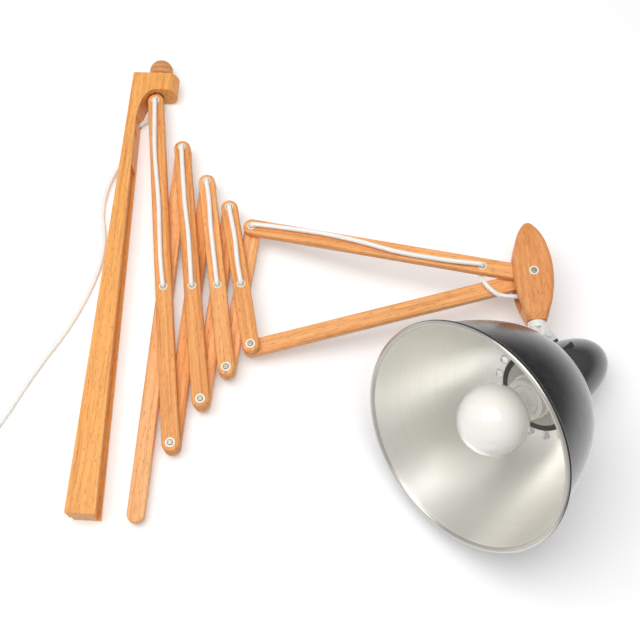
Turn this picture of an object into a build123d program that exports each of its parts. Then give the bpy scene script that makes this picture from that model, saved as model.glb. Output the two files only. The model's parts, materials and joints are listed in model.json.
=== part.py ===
from build123d import *
import os
from math import asin, cos, degrees, pi, radians, sin, sqrt, tan

os.makedirs("parts", exist_ok=True)

# Accordion wall lamp. Millimetres and degrees. +Z is up, the wall is the plane x = 0, the arm
# reaches out along +X, and y = 0 is the plane between the two layers of scissor links.

# ---------------------------------------------------------------- driving dimensions
# wall bracket
bracket_height = 445.0
bracket_width = 25.0
wedge_top = 8.7
wedge_foot = 26.1
head_height = 19.7
arch_height = 31.0
arch_step = 0.7
arch_end_x = 23.8
nose_side_x = 37.3
nose_x = 44.0
groove_width = 19.0
groove_depth = 3.0
groove_top_z = 118.0
screw_y = -4.5
screw_top_z = 156.0
screw_foot_z = -160.0
screw_bore = 4.5
screw_sink = 9.0
duct_y = 5.5
duct_width = 6.2
duct_depth = 5.3
duct_foot_z = 122.0
duct_top_z = 170.0
rebate_y = 5.1
rebate_depth = 2.0

# swivel
pin_x = 24.57
pin_radius = 3.0
knob_radius = 11.45
knob_collar_radius = 8.5
knob_height = 21.3
knob_collar_height = 3.8
hanger_disc_radius = 5.5
swing_gap = 0.25

# scissor arm: the links' lengths from pivot to pivot, from the wall outwards, and how far each
# pair of links leans from the arm's cross direction
arm_tilt = 4.553
hinge_drop = 29.5
link_lengths = [205.0, 149.0, 110.0, 81.0, 60.0]
link_leans = [4.56, 5.50, 6.60, 8.65]
tail_length = 208.0
reach_length = 261.3
link_width = 15.4
link_thickness = 7.85
link_rounding = 1.8
layer_gap = 0.3

# eyelets, rivets and rings
eyelet_radius = 3.2
eyelet_bore = 2.6
eyelet_flange = 4.1
flange_thickness = 0.6
rivet_radius = 2.0
rivet_head_radius = 2.7
rivet_head_height = 1.3
ring_radius = 4.3
running_gap = 0.05
open_pivot_gap = 0.85
end_eyelet_back = 45.5
end_eyelet_drop = 1.1

# head piece
head_thickness = 28.0
head_foot = 45.0
# heights on the head piece with its half width, half thickness and corner radius there
head_sections = [
    (-45.0, 8.55, 8.5, 3.6),
    (-38.0, 11.1, 11.0, 3.6),
    (-30.0, 13.6, 12.7, 3.6),
    (-18.0, 16.4, 13.8, 3.6),
    (-4.0, 17.8, 13.98, 3.6),
    (8.0, 17.8, 13.98, 3.6),
    (20.0, 16.3, 13.9, 3.6),
    (31.0, 13.8, 13.0, 3.6),
    (41.0, 10.3, 11.0, 3.6),
    (48.0, 6.8, 8.6, 3.7),
    (52.0, 3.7, 6.2, 2.0),
    (53.6, 1.6, 4.4, 0.9),
]
slot_width = 16.6
slot_top = 16.9
slot_foot = 33.0
slot_back = 10.4
fork_play = 3.0

# collar, knuckle and shade placing
collar_radius = 8.25
collar_length = 6.2
spigot_radius = 5.5
spigot_length = 8.0
spigot_bore = 2.6
knuckle_drop = 58.6
tongue_thickness = 7.0
tongue_radius = 7.5
ear_thickness = 7.0
ear_radius = 7.0
knuckle_gap = 0.16
collar_twist = 34.87
shade_lean = 57.3
ear_reach = 40.0
knuckle_screw_radius = 2.0
screw_head_radius = 4.6
screw_head_height = 2.4

# shade
shade_radius = 95.0
shade_top = 107.0
shade_foot = 4.0
shade_power = 4.49
shade_wall = 1.2
bead_radius = 2.5
neck_radius = 30.5
vent_radius = 3.2
vent_circle = 40.0
vent_count = 16
crown_radius = 66.0

# cap, lampholder, bulb and switch
cap_radius = 32.0
cap_length = 88.0
cap_wall = 3.2
cap_power = 2.51
knuckle_height = 39.8
louvre_height = 39.6
louvre_angle = 45.0
louvre_radius = 3.0
louvre_tail = 0.4
louvre_length = 15.0
louvre_mouth = 2.3
gallery_radius = 35.2
gallery_thickness = 2.0
holder_radius = 18.0
holder_front = 84.0
holder_length = 68.0
holder_bore = 13.4
holder_bore_depth = 28.0
skirt_radius = 19.8
skirt_height = 10.0
skirt_flutes = 30
flute_radius = 0.7
bulb_radius = 30.0
bulb_centre = 41.0
bulb_neck_radius = 13.2
bulb_wall = 0.9
bulb_base_radius = 13.1
bulb_base_length = 25.0
switch_shaft_radius = 2.4
switch_knob_radius = 4.0
switch_knob_length = 7.6

# cord
cord_radius = 2.15
cord_lift = 3.4
cord_lie = 2.6
cord_fold = 3.4
coil_x = -107.0
coil_z = -244.0
coil_radius = 25.0
coil_section = 7.0
coil_rise = 0.4
table_slope = 0.0328

# plug
plug_length = 34.0
plug_width = 26.0
plug_depth = 13.0
pin_pitch = 19.0
pin_reach = 19.0
plug_pin_radius = 2.0

# ---------------------------------------------------------------- places worked out
foot_z = -bracket_height / 2
crown_z = bracket_height / 2
eaves_z = crown_z - head_height
spring_z = eaves_z - arch_height
hinge_z = crown_z - hinge_drop
face_y = layer_gap / 2 + link_thickness


def front_x(z):
    """The wedge's front edge at a height."""
    return wedge_foot + (wedge_top - wedge_foot) * (z - foot_z) / (spring_z - foot_z)


def leaning(start, lean, length):
    """The point at a length from start, up the arm, leaning to the left by an angle."""
    return (start[0] - length * sin(radians(lean)), start[1] + length * cos(radians(lean)))


# pivots in arm coordinates, from the first crossing: t on the top, m on the middle, d below
half_heights = [length * cos(radians(lean)) for length, lean in zip(link_lengths[1:], link_leans)]
t, m, d = {}, {1: (0.0, 0.0)}, {}
t[1] = leaning(m[1], link_leans[0], link_lengths[0])
tail = leaning(m[1], -link_leans[0], -tail_length)
for stage in range(1, 5):
    lean = link_leans[stage - 1]
    if stage > 1:
        m[stage] = leaning(t[stage], lean, -half_heights[stage - 2] / cos(radians(lean)))
    d[stage] = leaning(m[stage], lean, -link_lengths[stage])
    t[stage + 1] = leaning(m[stage], -lean, link_lengths[stage])
reach_angle = degrees(asin(t[5][1] / reach_length))
h = (t[5][0] + reach_length * cos(radians(reach_angle)), 0.0)

arm_x = Vector(cos(radians(arm_tilt)), 0, sin(radians(arm_tilt)))
arm_z = Vector(-sin(radians(arm_tilt)), 0, cos(radians(arm_tilt)))
arm_origin = Vector(pin_x, 0, hinge_z) - arm_x * t[1][0] - arm_z * t[1][1]
arm = Plane(origin=arm_origin, x_dir=arm_x, z_dir=(0, -1, 0))
head = Plane(origin=arm.from_local_coords((h[0], h[1], 0)), x_dir=arm_x, z_dir=(0, -1, 0))
hinge = Vector(pin_x, 0, hinge_z)

# the knuckle's axis, and the shade's frame: rho points from the shade's axis to the knuckle
zero = Vector(0, 0, 0)
tilt_dir = Vector(0, -1, 0).rotate(Axis(zero, arm_z), collar_twist)
shade_dir = arm_z.rotate(Axis(zero, tilt_dir), -shade_lean)
rho = tilt_dir.cross(shade_dir)
knuckle = head.origin - arm_z * knuckle_drop
ear_offset = tongue_thickness / 2 + knuckle_gap + ear_thickness / 2
neck_s = shade_top + knuckle_height
shade_origin = knuckle + tilt_dir * ear_offset - rho * ear_reach - shade_dir * neck_s
shade_side = Plane(origin=shade_origin, x_dir=rho, z_dir=tilt_dir * -1)
shade_plan = Plane(origin=shade_origin, x_dir=rho, z_dir=shade_dir)
shade_axis = Axis(shade_origin, shade_dir)
stem = Plane(origin=head.origin, x_dir=tilt_dir, z_dir=arm_z)
tongue_side = Plane(origin=knuckle, x_dir=arm_z, z_dir=tilt_dir)


def dome_s(r, radius, top):
    """Height of the spun dome at a radius."""
    return shade_foot + (top - shade_foot) * (1 - (r / radius) ** shade_power)


def cap_r(share, radius):
    """Radius of the cap, a superellipse, at a share of its length."""
    return radius * (1 - share**cap_power) ** (1 / cap_power)


def save(part, label):
    part.label = label
    export_step(part, f"parts/{label}.step")


# ---------------------------------------------------------------- wall bracket
with BuildPart() as wall_bracket:
    with BuildSketch(Plane.XZ):
        with BuildLine():
            arch = EllipticalCenterArc(
                (arch_end_x, spring_z), arch_end_x - wedge_top - arch_step, arch_height, 90, arc_size=90
            )
            Polyline(
                arch @ 1,
                (wedge_top, spring_z),
                (wedge_foot, foot_z),
                (0, foot_z),
                (0, crown_z),
                (pin_x, crown_z),
                (pin_x, eaves_z),
                arch @ 0,
            )
        make_face()
    extrude(amount=bracket_width / 2, both=True)
    with BuildSketch(Plane.XY.offset(eaves_z)):
        with BuildLine():
            nose = ThreePointArc(
                (nose_side_x, -bracket_width / 2), (nose_x, 0), (nose_side_x, bracket_width / 2)
            )
            Polyline(nose @ 1, (0, bracket_width / 2), (0, -bracket_width / 2), nose @ 0)
        make_face()
    extrude(amount=head_height)
    with BuildSketch(Plane.XZ):
        with BuildLine():
            Polyline(
                (front_x(groove_top_z) + 1, groove_top_z),
                (front_x(groove_top_z) - groove_depth, groove_top_z),
                (front_x(foot_z) - groove_depth, foot_z - 1),
                (front_x(foot_z) + 1, foot_z - 1),
                close=True,
            )
        make_face()
    extrude(amount=groove_width / 2, both=True, mode=Mode.SUBTRACT)
    with Locations(hinge):
        Sphere(sqrt((link_width / 2) ** 2 + face_y**2) + 2 * swing_gap, mode=Mode.SUBTRACT)
    with BuildSketch(Plane.XY.offset(eaves_z - 1)):
        with Locations((pin_x, 0)):
            Circle(pin_radius + running_gap)
    extrude(amount=head_height + 2, mode=Mode.SUBTRACT)
    for z, sunk in ((screw_top_z, 0), (screw_foot_z, groove_depth)):
        with Locations(Plane(origin=(front_x(z) - sunk, screw_y, z), z_dir=(1, 0, 0))):
            CounterSinkHole(screw_bore / 2, screw_sink / 2, depth=bracket_width + wedge_foot)
    with BuildSketch(Plane.XY.offset(foot_z)):
        with Locations((rebate_depth / 2 - 1, (rebate_y + bracket_width) / 2)):
            Rectangle(rebate_depth + 2, bracket_width - rebate_y)
    extrude(amount=bracket_height, mode=Mode.SUBTRACT)
    with BuildSketch(Plane.XY.offset(duct_foot_z)):
        with Locations((duct_depth / 2, duct_y)):
            Rectangle(duct_depth, duct_width)
    extrude(amount=duct_top_z - duct_foot_z, mode=Mode.SUBTRACT)
    duct_start = Vector(duct_depth / 2, duct_y, duct_top_z - duct_width / 2)
    with BuildSketch(Plane(origin=duct_start, z_dir=(0.77, 0.07, 0.64))):
        Circle(duct_width / 2)
    extrude(amount=16, mode=Mode.SUBTRACT)
save(wall_bracket.part, "wall_bracket")

# ---------------------------------------------------------------- swivel
ball_radius = sqrt((link_width / 2) ** 2 + face_y**2)
hanger_top_z = hinge_z + sqrt(ball_radius**2 - hanger_disc_radius**2)
disc_foot_z = hinge_z + link_width / 2 + swing_gap

with BuildPart() as swivel_hanger:
    with BuildSketch(Plane(origin=(pin_x, face_y, hinge_z), x_dir=(1, 0, 0), z_dir=(0, -1, 0))):
        Circle(link_width / 2)
        with Locations((0, (hanger_top_z - hinge_z) / 2)):
            Rectangle(2 * hanger_disc_radius, hanger_top_z - hinge_z)
    extrude(amount=link_thickness)
    with BuildSketch(Plane.XY.offset(disc_foot_z)):
        with Locations((pin_x, 0)):
            Circle(hanger_disc_radius)
    extrude(amount=hanger_top_z - disc_foot_z)
    with Locations(hinge):
        Sphere(ball_radius, mode=Mode.INTERSECT)
    with BuildSketch(Plane.XZ.offset(-face_y - 1)):
        with Locations((pin_x, hinge_z)):
            Circle(eyelet_radius + running_gap)
    extrude(amount=link_thickness + 2, mode=Mode.SUBTRACT)
save(swivel_hanger.part, "swivel_hanger")

knob_foot_z = crown_z + swing_gap
knob_bore_z = crown_z + knob_height * 0.7
with BuildPart() as king_pin:
    with BuildSketch(Plane.XY.offset(hanger_top_z)):
        with Locations((pin_x, 0)):
            Circle(pin_radius)
    extrude(amount=knob_bore_z - hanger_top_z)
save(king_pin.part, "king_pin")

knob_side = Plane(origin=(pin_x, 0, knob_foot_z), x_dir=(1, 0, 0), z_dir=(0, -1, 0))
with BuildPart() as pin_knob:
    with BuildSketch(knob_side):
        with BuildLine():
            belly = knob_collar_height + 4.5
            bore_depth = knob_bore_z - knob_foot_z
            Polyline(
                (0, knob_height),
                (0, bore_depth),
                (pin_radius, bore_depth),
                (pin_radius, 0),
                (knob_collar_radius, 0),
                (knob_collar_radius, knob_collar_height),
            )
            ThreePointArc(
                (knob_collar_radius, knob_collar_height),
                (knob_radius - 0.8, knob_collar_height + 1.6),
                (knob_radius, belly),
            )
            crown = (knob_radius**2 + (knob_height - belly) ** 2) / (2 * (knob_height - belly))
            ThreePointArc(
                (knob_radius, belly),
                (crown * sin(0.7), knob_height - crown + crown * cos(0.7)),
                (0, knob_height),
            )
        make_face()
    revolve(axis=Axis((pin_x, 0, 0), (0, 0, 1)))
save(pin_knob.part, "pin_knob")


# ---------------------------------------------------------------- scissor links
def make_link(label, start, end, front, bores):
    """A round-ended link between two points of the arm, with a bore at each listed pivot."""
    low = layer_gap / 2 if front else -face_y
    middle = ((start[0] + end[0]) / 2, (start[1] + end[1]) / 2)
    with BuildPart() as link:
        with BuildSketch(arm.offset(low)):
            SlotCenterPoint(middle, end, link_width)
        extrude(amount=link_thickness)
        fillet(link.faces().filter_by(Axis.Y).edges(), link_rounding)
        with BuildSketch(arm.offset(low - 1)):
            for spot, radius in bores:
                with Locations(spot):
                    Circle(radius)
        extrude(amount=link_thickness + 2, mode=Mode.SUBTRACT)
    save(link.part, label)


tight = eyelet_radius
loose = eyelet_radius + running_gap
rivet_fit = rivet_radius
end_eyelet = (
    h[0] - end_eyelet_back * cos(radians(reach_angle)) - end_eyelet_drop * sin(radians(reach_angle)),
    end_eyelet_back * sin(radians(reach_angle)) - end_eyelet_drop * cos(radians(reach_angle)),
)
for stage in range(1, 5):
    front_bores = [(t[stage], loose if stage == 1 else tight), (m[stage], tight)]
    make_link(f"link_f{stage}", t[stage], d[stage], True, front_bores + [(d[stage], rivet_fit)])
front_bores = [(t[5], tight), (end_eyelet, tight), (h, rivet_radius + running_gap)]
make_link("link_f5", t[5], h, True, front_bores)
make_link("link_b0", tail, t[2], False, [(m[1], loose), (t[2], loose)])
for stage in range(1, 4):
    back_bores = [(d[stage], rivet_radius + open_pivot_gap), (m[stage + 1], loose)]
    make_link(f"link_b{stage}", d[stage], t[stage + 2], False, back_bores + [(t[stage + 2], loose)])
back_bores = [(d[4], rivet_radius + running_gap), (h, rivet_radius + fork_play)]
make_link("link_b4", d[4], h, False, back_bores)


# ---------------------------------------------------------------- eyelets, rivets, rings
def make_eyelet(label, spot, back, front):
    """A hollow eyelet with a flange on each outer face, between two depths of the arm's plane."""
    seat = back - running_gap
    with BuildPart() as eyelet:
        with BuildSketch(arm.offset(seat - flange_thickness)):
            with Locations(spot):
                Circle(eyelet_flange)
        extrude(amount=flange_thickness)
        with BuildSketch(arm.offset(front)):
            with Locations(spot):
                Circle(eyelet_flange)
        extrude(amount=flange_thickness)
        fillet(eyelet.edges().group_by(Axis.Y)[0], flange_thickness * 0.6)
        fillet(eyelet.edges().group_by(Axis.Y)[-1], flange_thickness * 0.6)
        with BuildSketch(arm.offset(seat)):
            with Locations(spot):
                Circle(eyelet_radius)
        extrude(amount=front - seat)
        with BuildSketch(arm.offset(seat - 2 * flange_thickness)):
            with Locations(spot):
                Circle(eyelet_bore)
        extrude(amount=front - seat + 4 * flange_thickness, mode=Mode.SUBTRACT)
    save(eyelet.part, label)


def make_rivet(label, plane, spot, back, front):
    """A solid rivet with a domed head on each end, over the rings."""
    with BuildPart() as rivet:
        with BuildSketch(plane.offset(back)):
            with Locations(spot):
                Circle(rivet_radius)
        extrude(amount=front - back)
        for depth, amount in ((front, rivet_head_height), (back, -rivet_head_height)):
            with BuildSketch(plane.offset(depth)):
                with Locations(spot):
                    Circle(rivet_head_radius)
            extrude(amount=amount)
        fillet(rivet.edges().group_by(Axis.Y)[0], rivet_head_height * 0.7)
        fillet(rivet.edges().group_by(Axis.Y)[-1], rivet_head_height * 0.7)
    save(rivet.part, label)


def make_rings(label, plane, spot, back, front):
    """A flat ring under each head of a rivet."""
    with BuildPart() as rings:
        for depth, amount in ((front, flange_thickness), (back, -flange_thickness)):
            with BuildSketch(plane.offset(depth)):
                with Locations(spot):
                    Circle(ring_radius)
                    Circle(rivet_radius, mode=Mode.SUBTRACT)
            extrude(amount=amount)
    save(rings.part, label)


for stage in range(1, 6):
    make_eyelet(f"eyelet_t{stage}", t[stage], -face_y, face_y)
for stage in range(1, 5):
    make_eyelet(f"eyelet_m{stage}", m[stage], -face_y, face_y)
make_eyelet("eyelet_end", end_eyelet, layer_gap / 2 + running_gap, face_y)
for stage in range(1, 5):
    back = -face_y - running_gap
    make_rings(f"rings_d{stage}", arm, d[stage], back, face_y)
    make_rivet(f"rivet_d{stage}", arm, d[stage], back - flange_thickness, face_y + flange_thickness)
cheek = head_thickness / 2
make_rings("rings_head", head, (0, 0), -cheek, cheek)
make_rivet("head_pin", head, (0, 0), -cheek - flange_thickness, cheek + flange_thickness)

# ---------------------------------------------------------------- head piece
with BuildPart() as head_block:
    for height, half_width, half_thickness, corner in head_sections:
        level = Plane(origin=head.origin + arm_z * height, x_dir=arm_x, z_dir=arm_z)
        with BuildSketch(level):
            RectangleRounded(2 * half_width, 2 * half_thickness, corner)
    loft()
    with BuildSketch(head):
        with BuildLine():
            Polyline(
                (-head_thickness, slot_top),
                (slot_back * 0.4, slot_top),
                (slot_back, slot_top - slot_back * 0.7),
                (slot_back, -slot_foot + slot_back * 1.6),
                (slot_back * 0.55, -slot_foot),
                (-head_thickness, -slot_foot),
                close=True,
            )
        make_face()
    extrude(amount=slot_width / 2, both=True, mode=Mode.SUBTRACT)
    with BuildSketch(head.offset(-head_thickness)):
        Circle(rivet_radius)
    extrude(amount=2 * head_thickness, mode=Mode.SUBTRACT)
    with BuildSketch(stem.offset(-head_foot - 1)):
        Circle(spigot_radius + running_gap)
    extrude(amount=head_foot - slot_foot + 2, mode=Mode.SUBTRACT)
save(head_block.part, "head_block")

# ---------------------------------------------------------------- collar and knuckle
collar_top = -head_foot - swing_gap
with BuildPart() as collar:
    with BuildSketch(stem.offset(collar_top)):
        Circle(collar_radius)
    extrude(amount=-collar_length)
    with BuildSketch(stem.offset(collar_top)):
        Circle(spigot_radius)
    extrude(amount=spigot_length)
    with BuildSketch(tongue_side.offset(-tongue_thickness / 2)):
        Circle(tongue_radius)
        rise = knuckle_drop + collar_top - collar_length / 2
        with Locations((rise / 2, 0)):
            Rectangle(rise, 2 * tongue_radius)
    extrude(amount=tongue_thickness)
    with BuildSketch(stem.offset(collar_top - collar_length + 2)):
        Circle(spigot_bore)
    extrude(amount=collar_length + spigot_length, mode=Mode.SUBTRACT)
    with BuildSketch(tongue_side.offset(-tongue_thickness)):
        Circle(knuckle_screw_radius)
    extrude(amount=2 * tongue_thickness, mode=Mode.SUBTRACT)
save(collar.part, "stem_collar")

ear_face = ear_offset + ear_thickness / 2
with BuildPart() as knuckle_screw:
    with BuildSketch(tongue_side.offset(-tongue_thickness / 2)):
        Circle(screw_head_radius)
    extrude(amount=-screw_head_height)
    fillet(knuckle_screw.edges().sort_by(Axis(knuckle, tilt_dir))[0], screw_head_height * 0.4)
    with BuildSketch(tongue_side.offset(-tongue_thickness / 2)):
        Circle(knuckle_screw_radius)
    extrude(amount=tongue_thickness / 2 + ear_face + running_gap)
    with BuildSketch(tongue_side.offset(ear_face + running_gap)):
        Circle(screw_head_radius)
    extrude(amount=screw_head_height)
save(knuckle_screw.part, "knuckle_screw")


def cap_solid(radius, foot, length, mode):
    """The cap's dome as a solid of revolution about the shade's axis."""
    steps = [0.0, 0.2, 0.4, 0.58, 0.72, 0.84, 0.93, 0.985, 1.0]
    with BuildSketch(shade_side) as profile:
        with BuildLine():
            Spline([(cap_r(q, radius), foot + length * q) for q in steps])
            Polyline((0, foot + length), (0, foot), (radius, foot))
        make_face()
    revolve(profile.sketch, axis=shade_axis, mode=mode)


cap_foot = dome_s(neck_radius, shade_radius, shade_top) + running_gap
gallery_face = dome_s(gallery_radius, shade_radius - shade_wall, shade_top - shade_wall)

# ---------------------------------------------------------------- shade
dome_steps = [0.0, 0.3, 0.45, 0.6, 0.72, 0.82, 0.9, 0.96, 1.0]
crown_s = dome_s(crown_radius, shade_radius, shade_top)


def dome_wall():
    """The spun dome, closed at the top."""
    inner_radius = shade_radius - shade_wall
    inner_top = shade_top - shade_wall
    with BuildSketch(shade_side) as profile:
        with BuildLine():
            outer = Spline([(shade_radius * q, dome_s(shade_radius * q, shade_radius, shade_top))
                            for q in dome_steps])
            inner = Spline([(inner_radius * q, dome_s(inner_radius * q, inner_radius, inner_top))
                            for q in dome_steps])
            Line(outer @ 0, inner @ 0)
            Line(outer @ 1, inner @ 1)
        make_face()
    revolve(profile.sketch, axis=shade_axis)


# one spun dome in two pieces: the bowl with its rolled rim, and the crown with its vents
with BuildPart() as shade:
    dome_wall()
    split(bisect_by=shade_plan.offset(crown_s), keep=Keep.BOTTOM)
    with BuildSketch(shade_side):
        with Locations((shade_radius + bead_radius - shade_wall / 2, bead_radius)):
            Circle(bead_radius)
        with Locations((shade_radius - shade_wall / 2, shade_foot)):
            Rectangle(shade_wall, shade_wall)
    revolve(axis=shade_axis)
save(shade.part, "shade")

with BuildPart() as shade_crown:
    dome_wall()
    split(bisect_by=shade_plan.offset(crown_s), keep=Keep.TOP)
    with BuildSketch(shade_plan.offset(shade_top - 6 * shade_wall)):
        Circle(neck_radius)
        with PolarLocations(vent_circle, vent_count):
            Circle(vent_radius)
    extrude(amount=8 * shade_wall, mode=Mode.SUBTRACT)
save(shade_crown.part, "shade_crown")

# ---------------------------------------------------------------- cap, gallery, lampholder


def on_cap(height):
    """The place on the cap's skin at a height above its foot, in line with the louvre."""
    radius = cap_r(height / cap_length, cap_radius)
    turn = radians(louvre_angle)
    return shade_plan.from_local_coords((radius * cos(turn), radius * sin(turn), cap_foot + height))


louvre_front = on_cap(louvre_height)
louvre_back = on_cap(louvre_height - louvre_length)
with BuildPart() as shade_cap:
    cap_solid(cap_radius, cap_foot, cap_length, Mode.ADD)
    with BuildSketch(shade_side.offset(-ear_thickness / 2)):
        with Locations((ear_reach, neck_s)):
            Circle(ear_radius)
        Polygon(
            (ear_reach, neck_s - ear_radius),
            (ear_reach, neck_s + ear_radius),
            (cap_radius * 0.7, neck_s + 1.5 * ear_radius),
            (cap_radius * 0.7, neck_s - 1.5 * ear_radius),
            align=None,
        )
    extrude(amount=ear_thickness)
    with BuildSketch(shade_side.offset(-ear_thickness)):
        with Locations((ear_reach, neck_s)):
            Circle(knuckle_screw_radius + running_gap)
    extrude(amount=2 * ear_thickness, mode=Mode.SUBTRACT)
    with BuildSketch(shade_plan.offset(gallery_face)):
        Circle(neck_radius - running_gap)
    extrude(amount=cap_foot - gallery_face)
    inner_length = cap_length + cap_foot - gallery_face - cap_wall / 2
    cap_solid(cap_radius - cap_wall, gallery_face, inner_length, Mode.SUBTRACT)
    with BuildSketch(shade_plan.offset(cap_foot + cap_length - 3 * cap_wall)):
        Circle(switch_shaft_radius + running_gap)
    extrude(amount=6 * cap_wall, mode=Mode.SUBTRACT)
    foot_aligned = (Align.CENTER, Align.CENTER, Align.MIN)
    with Locations(Plane(origin=louvre_back, z_dir=louvre_front - louvre_back)):
        Cone(louvre_tail, louvre_radius, louvre_length, align=foot_aligned)
    with Locations(Plane(origin=louvre_front, z_dir=louvre_back - louvre_front)):
        Cone(louvre_mouth, louvre_tail, louvre_length / 2, align=foot_aligned, mode=Mode.SUBTRACT)
save(shade_cap.part, "shade_cap")

with BuildPart() as gallery_ring:
    with BuildSketch(shade_plan.offset(gallery_face)):
        Circle(gallery_radius)
        Circle(holder_radius, mode=Mode.SUBTRACT)
    extrude(amount=-gallery_thickness)
save(gallery_ring.part, "gallery_ring")

with BuildPart() as lampholder:
    with BuildSketch(shade_plan.offset(holder_front)):
        Circle(holder_radius)
    extrude(amount=holder_length)
    with BuildSketch(shade_plan.offset(holder_front)):
        Circle(holder_bore)
    extrude(amount=holder_bore_depth, mode=Mode.SUBTRACT)
save(lampholder.part, "lampholder")

with BuildPart() as holder_ring:
    with BuildSketch(shade_plan.offset(gallery_face - gallery_thickness)):
        Circle(skirt_radius)
        Circle(holder_radius, mode=Mode.SUBTRACT)
        with PolarLocations(skirt_radius, skirt_flutes):
            Circle(flute_radius, mode=Mode.SUBTRACT)
    extrude(amount=-skirt_height)
save(holder_ring.part, "holder_ring")

# ---------------------------------------------------------------- bulb and switch
base_foot = bulb_centre + 1.5 * bulb_radius
neck_start = bulb_centre + 0.8 * bulb_radius


def bulb_solid(wall, mode):
    """The globe with its neck, smaller by a wall."""
    radius = bulb_radius - wall
    with BuildSketch(shade_side) as profile:
        with BuildLine():
            globe = ThreePointArc(
                (0, bulb_centre - radius),
                (radius, bulb_centre),
                (radius * 0.6, bulb_centre + radius * 0.8),
            )
            flare = Spline(
                globe @ 1, (bulb_neck_radius - wall, base_foot), tangents=[globe % 1, (0, 1)]
            )
            Polyline(flare @ 1, (0, base_foot), (0, bulb_centre - radius))
        make_face()
    revolve(profile.sketch, axis=shade_axis, mode=mode)


with BuildPart() as bulb:
    bulb_solid(0.0, Mode.ADD)
    bulb_solid(bulb_wall, Mode.SUBTRACT)
save(bulb.part, "bulb_glass")

with BuildPart() as bulb_base:
    with BuildSketch(shade_plan.offset(base_foot)):
        Circle(bulb_base_radius)
    extrude(amount=bulb_base_length * 0.8)
    with BuildSketch(shade_plan.offset(base_foot + bulb_base_length * 0.8)):
        Circle(bulb_base_radius * 0.45)
    extrude(amount=bulb_base_length * 0.2)
save(bulb_base.part, "bulb_base")

cap_end = cap_foot + cap_length
with BuildPart() as switch_knob:
    with BuildSketch(shade_plan.offset(holder_front + holder_length)):
        Circle(switch_shaft_radius)
    extrude(amount=cap_end - holder_front - holder_length + 1)
    with BuildSketch(shade_plan.offset(cap_end + swing_gap)):
        Circle(switch_knob_radius)
    extrude(amount=switch_knob_length)
    fillet(switch_knob.edges().sort_by(shade_axis)[-1], switch_knob_radius * 0.4)
save(switch_knob.part, "switch_knob")


# ---------------------------------------------------------------- cord held by the arm
def tube(label, points, folds):
    """A round cord along straight runs joined by arcs, with the radius of each arc."""
    path = FilletPolyline(*points, radius=folds)
    start = Plane(origin=path @ 0, z_dir=path % 0)
    with BuildPart() as cord:
        with BuildLine():
            add(path)
        with BuildSketch(start):
            Circle(cord_radius)
        sweep()
    share = cord.part.volume / (pi * cord_radius**2 * path.length)
    print(label, "length", round(path.length, 1), "radii", [round(r, 1) for r in folds],
          "volume share", round(share, 4))
    save(cord.part, label)


def wide_radii(points):
    """The radius of each arc: 0.45 of its shorter run, over the tangent of half the turn."""
    radii = []
    for before, corner, after in zip(points, points[1:], points[2:]):
        turn = (corner - before).get_angle(after - corner)
        shorter = min((corner - before).length, (after - corner).length)
        radii.append(0.45 * shorter / tan(radians(turn / 2)))
    return radii


def held(label, front, start, end, along):
    """A stretch of cord on a link's outer face, from one eyelet's middle to the next one's."""
    side = 1 if front else -1
    lift = side * (face_y + cord_lift)
    lie = side * (face_y + cord_lie)
    places = [(start, 0), (start, lift)] + [(spot, lie) for spot in along] + [(end, lift), (end, 0)]
    points = [arm.from_local_coords((spot[0], spot[1], depth)) for spot, depth in places]
    folds = [min(radius, 400.0) for radius in wide_radii(points)]
    folds[0] = cord_fold
    folds[-1] = cord_fold
    tube(label, points, folds)


def between(start, end, share, aside=0.0):
    """A point on a link's centre line, moved aside to the right by some millimetres."""
    run = sqrt((end[0] - start[0]) ** 2 + (end[1] - start[1]) ** 2)
    normal = ((start[1] - end[1]) / run, (end[0] - start[0]) / run)
    return (
        start[0] + (end[0] - start[0]) * share + normal[0] * aside,
        start[1] + (end[1] - start[1]) * share + normal[1] * aside,
    )


f1_lay = [between(t[1], m[1], q, a) for q, a in ((0.1, -1.2), (0.3, -2.6), (0.57, -0.6), (0.86, -1.4))]
f2_lay = [between(t[2], m[2], q, a) for q, a in ((0.12, -0.6), (0.43, -0.9), (0.66, 0.6), (0.87, 0.1))]
f3_lay = [between(t[3], m[3], q, a) for q, a in ((0.2, 0.8), (0.46, -0.4), (0.8, -0.2))]
f4_lay = [between(t[4], m[4], q, a) for q, a in ((0.2, 0.6), (0.45, 1.1), (0.75, -0.3))]
f5_lay = [between(t[5], end_eyelet, q, a) for q, a in
          ((0.06, 1.5), (0.28, 3.6), (0.46, 2.4), (0.64, -2.6), (0.86, -2.0))]
b_lay = [(0.14, 0.8), (0.5, -0.9), (0.84, 0.5)]
held("cord_f1", True, t[1], m[1], f1_lay)
held("cord_f2", True, t[2], m[2], f2_lay)
held("cord_f3", True, t[3], m[3], f3_lay)
held("cord_f4", True, t[4], m[4], f4_lay)
for stage in range(1, 5):
    lay = [between(m[stage], t[stage + 1], q, a) for q, a in b_lay]
    held(f"cord_b{stage - 1}", False, m[stage], t[stage + 1], lay)

reach_depths = [(t[5], 0), (t[5], face_y + cord_lift)]
reach_depths += [(spot, face_y + cord_lie) for spot in f5_lay]
reach_depths += [(end_eyelet, face_y + cord_lift), (end_eyelet, face_y / 2)]
f5_points = [arm.from_local_coords((spot[0], spot[1], depth)) for spot, depth in reach_depths]
f5_folds = [min(radius, 400.0) for radius in wide_radii(f5_points)]
f5_folds[0] = cord_fold
f5_folds[-1] = cord_fold
tube("cord_f5", f5_points, f5_folds)

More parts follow.
